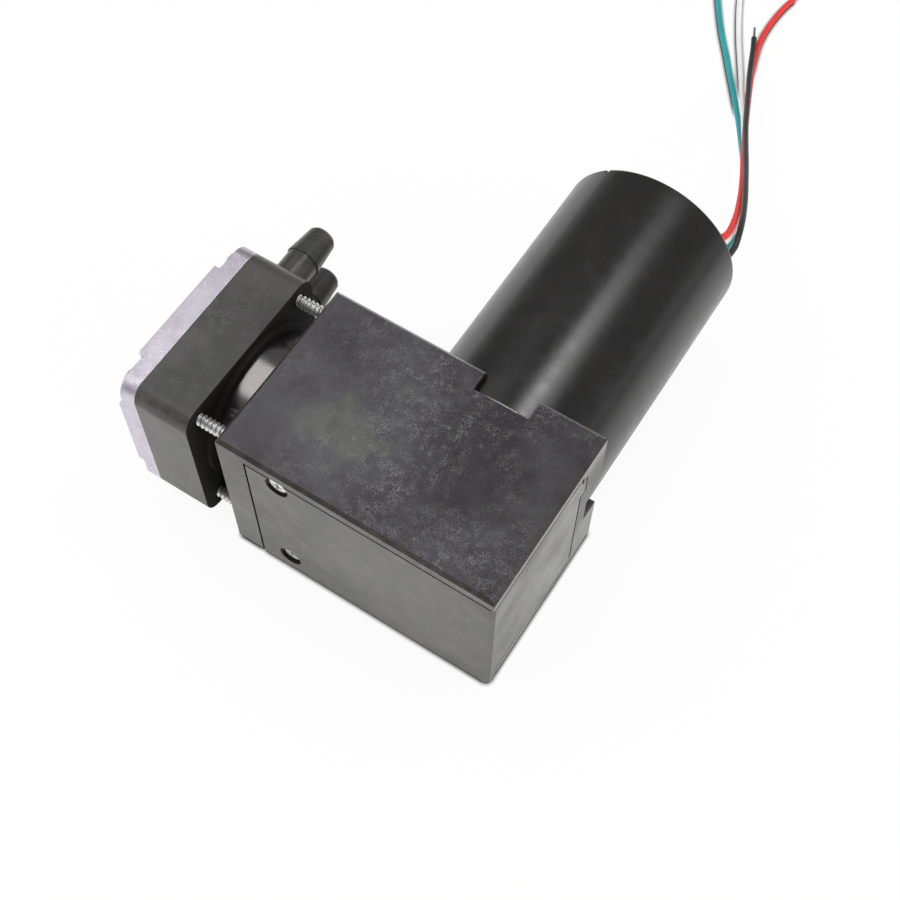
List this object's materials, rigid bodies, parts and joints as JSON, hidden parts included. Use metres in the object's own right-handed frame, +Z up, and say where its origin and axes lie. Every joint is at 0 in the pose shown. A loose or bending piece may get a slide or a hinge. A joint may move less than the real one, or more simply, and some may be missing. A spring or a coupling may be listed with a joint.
{
  "type": "vacuum pump",
  "caption": "Small piston vacuum pump: box crankcase with a side cover, head with hose barbs across a short cylinder, round brushless motor with a row of leads.",
  "frame": {"origin": "on the flat underside of the crankcase, straight below the crank and motor axis, in the plane of the piston", "axes": "+X along the piston line from the head towards the crank's far end, +Y along the crank and motor axis towards the leads, +Z up"},
  "size_m": [0.0899, 0.2143, 0.043],
  "materials": {
    "crankcase_nylon": "matte glass-filled nylon, dark slate, lightly mottled",
    "cover_nylon": "matte glass-filled nylon",
    "head_nylon": "matte glass-filled nylon",
    "cover_aluminium": "cast, bead-blasted",
    "sleeve_aluminium": "turned, hard-anodised bore",
    "flange_aluminium": "turned",
    "rod_aluminium": "die-cast",
    "screw_zinc": "bright zinc plate",
    "screw_black": "black oxide",
    "pin_steel": "bright steel",
    "bearing_steel": "ground bearing steel",
    "shaft_steel": "ground steel",
    "eccentric_steel": "turned and milled steel",
    "clip_steel": "spring steel, phosphated",
    "lamination_steel": "stacked laminations",
    "magnet_grey": "nickel-plated magnet, matt",
    "winding_copper": "enamelled copper wire",
    "spacer_brass": "turned",
    "can_black": "satin black coated steel",
    "cap_black": "satin black coated metal",
    "board_green": "solder mask",
    "board_part_black": "moulded component bodies",
    "gasket_rubber": "matt",
    "valve_rubber": "matt",
    "cup_plastic": "filled low-friction plastic",
    "lead_red": "smooth insulation",
    "lead_white": "smooth insulation",
    "lead_teal": "smooth insulation",
    "lead_black": "smooth insulation",
    "tinned_copper": "tinned strands"
  },
  "bodies": {
    "pump_body": {"crankcase": "crankcase_nylon", "front_cover": "cover_nylon", "cover_screws": "screw_zinc", "cylinder_sleeve": "sleeve_aluminium", "sleeve_gasket": "gasket_rubber", "head_block": "head_nylon", "head_gasket": "gasket_rubber", "head_cover": "cover_aluminium", "head_screws": "screw_zinc", "valve_pins": "pin_steel", "motor_flange": "flange_aluminium", "motor_screws": "screw_zinc", "motor_can": "can_black", "motor_rear_cap": "cap_black", "stator_core": "lamination_steel", "stator_windings": "winding_copper", "circuit_board": "board_green", "board_parts": "board_part_black", "front_bearing": "bearing_steel", "rear_bearing": "bearing_steel", "lead_grommet": "gasket_rubber", "lead_red": "lead_red", "lead_white": "lead_white", "lead_teal": "lead_teal", "lead_black": "lead_black", "lead_ends": "tinned_copper"},
    "rotor": {"motor_shaft": "shaft_steel", "rotor_core": "lamination_steel", "rotor_magnets": "magnet_grey", "rotor_spacers": "spacer_brass", "bearing_inner_rings": "bearing_steel", "eccentric": "eccentric_steel", "eccentric_set_screw": "screw_black", "journal_clip": "clip_steel", "crank_bearing_inner": "bearing_steel"},
    "piston_rod": {"connecting_rod": "rod_aluminium", "crank_bearing": "bearing_steel", "piston_cup": "cup_plastic", "cup_retainer": "rod_aluminium", "retainer_screw": "screw_zinc"},
    "inlet_disc": {"inlet_valve": "valve_rubber"},
    "outlet_disc": {"outlet_valve": "valve_rubber"}
  },
  "joints": [
    {"name": "rotor_spin", "type": "hinge", "parent": "pump_body", "child": "rotor", "pos_m": [0, 0.03, 0.0215], "axis": [0, 1, 0], "continuous": true},
    {"name": "rod_on_crank", "type": "hinge", "parent": "rotor", "child": "piston_rod", "pos_m": [-0.002, 0, 0.0215], "axis": [0, 1, 0], "continuous": true},
    {"name": "inlet_lift", "type": "slide", "parent": "pump_body", "child": "inlet_disc", "axis": [1, 0, 0], "range_m": [0, 0.0005], "stiffness_N_per_m": 20},
    {"name": "outlet_lift", "type": "slide", "parent": "pump_body", "child": "outlet_disc", "axis": [-1, 0, 0], "range_m": [0, 0.0005], "stiffness_N_per_m": 20}
  ],
  "couplings": [
    {"joint": "rod_on_crank", "follows": "rotor_spin", "ratio": -1}
  ]
}
